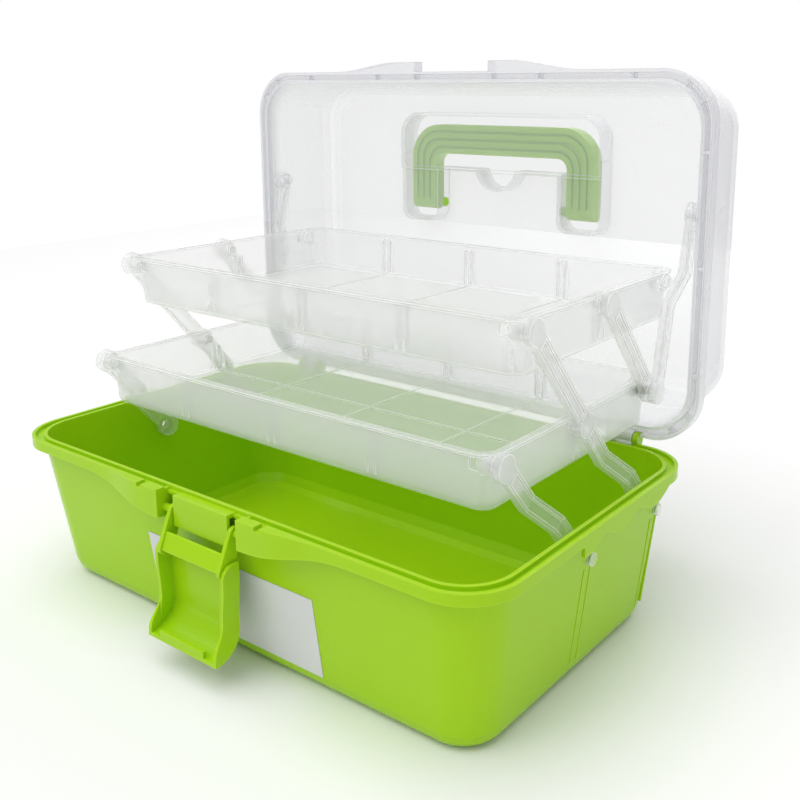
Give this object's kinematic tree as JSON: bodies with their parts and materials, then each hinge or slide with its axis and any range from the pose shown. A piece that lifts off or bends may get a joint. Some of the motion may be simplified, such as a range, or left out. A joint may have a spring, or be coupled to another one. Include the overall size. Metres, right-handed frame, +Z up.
{
  "type": "sewing box",
  "caption": "Long sewing box with a frosted lid, a green tub, folding cantilever trays that rise with the lid, a fold-down carry handle and a front latch",
  "frame": {"origin": "centre of the footprint, on the ground", "axes": "+X along the length, +Y from the latch to the hinges, +Z up"},
  "size_m": [0.33, 0.2792, 0.2953],
  "materials": {
    "green_plastic": "satin lime green moulded polypropylene",
    "frosted_plastic": "frosted translucent moulded polypropylene",
    "clear_plastic": "clear moulded polypropylene, slightly milky",
    "label": "plain paper label"
  },
  "bodies": {
    "base": {"base_tub": "green_plastic", "front_label": "label"},
    "lid": {"lid_shell": "frosted_plastic"},
    "carry_handle": {"handle": "green_plastic"},
    "link": {"latch_link": "green_plastic"},
    "lever": {"latch_lever": "green_plastic"},
    "top_tray": {"upper_tray": "clear_plastic"},
    "low_tray": {"lower_tray": "clear_plastic"},
    "front_arms": {"front_arm_left": "clear_plastic", "front_arm_right": "clear_plastic"},
    "long_arms": {"long_arm_left": "clear_plastic", "long_arm_right": "clear_plastic"},
    "rear_arms": {"rear_arm_left": "clear_plastic", "rear_arm_right": "clear_plastic"},
    "lid_links": {"lid_link_left": "clear_plastic", "lid_link_right": "clear_plastic"}
  },
  "joints": [
    {"name": "lid_hinge", "type": "hinge", "parent": "base", "child": "lid", "pos_m": [0, 0.1018, 0.088], "axis": [1, 0, 0], "range_deg": [0, 90]},
    {"name": "front_arm_pivot", "type": "hinge", "parent": "base", "child": "front_arms", "pos_m": [0, -0.0028, 0.066], "axis": [1, 0, 0], "range_deg": [0, 24.6]},
    {"name": "long_arm_pivot", "type": "hinge", "parent": "base", "child": "long_arms", "pos_m": [0, 0.067, 0.066], "axis": [1, 0, 0], "range_deg": [0, 24.6]},
    {"name": "lower_tray_pivot", "type": "hinge", "parent": "long_arms", "child": "low_tray", "pos_m": [0, 0.01927, 0.1215], "axis": [1, 0, 0], "range_deg": [-24.6, 0]},
    {"name": "upper_tray_pivot", "type": "hinge", "parent": "long_arms", "child": "top_tray", "pos_m": [0, -0.02847, 0.17699], "axis": [1, 0, 0], "range_deg": [-24.6, 0]},
    {"name": "rear_arm_pivot", "type": "hinge", "parent": "low_tray", "child": "rear_arms", "pos_m": [0, 0.08907, 0.1215], "axis": [1, 0, 0], "range_deg": [0, 24.6]},
    {"name": "lid_link_pivot", "type": "hinge", "parent": "low_tray", "child": "lid_links", "pos_m": [0, 0.08907, 0.1215], "axis": [1, 0, 0], "range_deg": [0, 103.5]},
    {"name": "handle_pivot", "type": "hinge", "parent": "lid", "child": "carry_handle", "pos_m": [0, 0.1573, 0.2038], "axis": [-1, 0, 0], "range_deg": [0, 100]},
    {"name": "latch_link_pivot", "type": "hinge", "parent": "base", "child": "link", "pos_m": [0, -0.098, 0.0755], "axis": [-1, 0, 0], "range_deg": [0, 90]},
    {"name": "latch_lever_pivot", "type": "hinge", "parent": "link", "child": "lever", "pos_m": [0, -0.10449, 0.0585], "axis": [-1, 0, 0], "range_deg": [0, 45]}
  ],
  "couplings": [
    {"joint": "front_arm_pivot", "follows": "lid_hinge", "ratio": 0.27333},
    {"joint": "long_arm_pivot", "follows": "lid_hinge", "ratio": 0.27333},
    {"joint": "lower_tray_pivot", "follows": "lid_hinge", "ratio": -0.27333},
    {"joint": "upper_tray_pivot", "follows": "lid_hinge", "ratio": -0.27333},
    {"joint": "rear_arm_pivot", "follows": "lid_hinge", "ratio": 0.27333},
    {"joint": "lid_link_pivot", "follows": "lid_hinge", "ratio": 1.148}
  ]
}
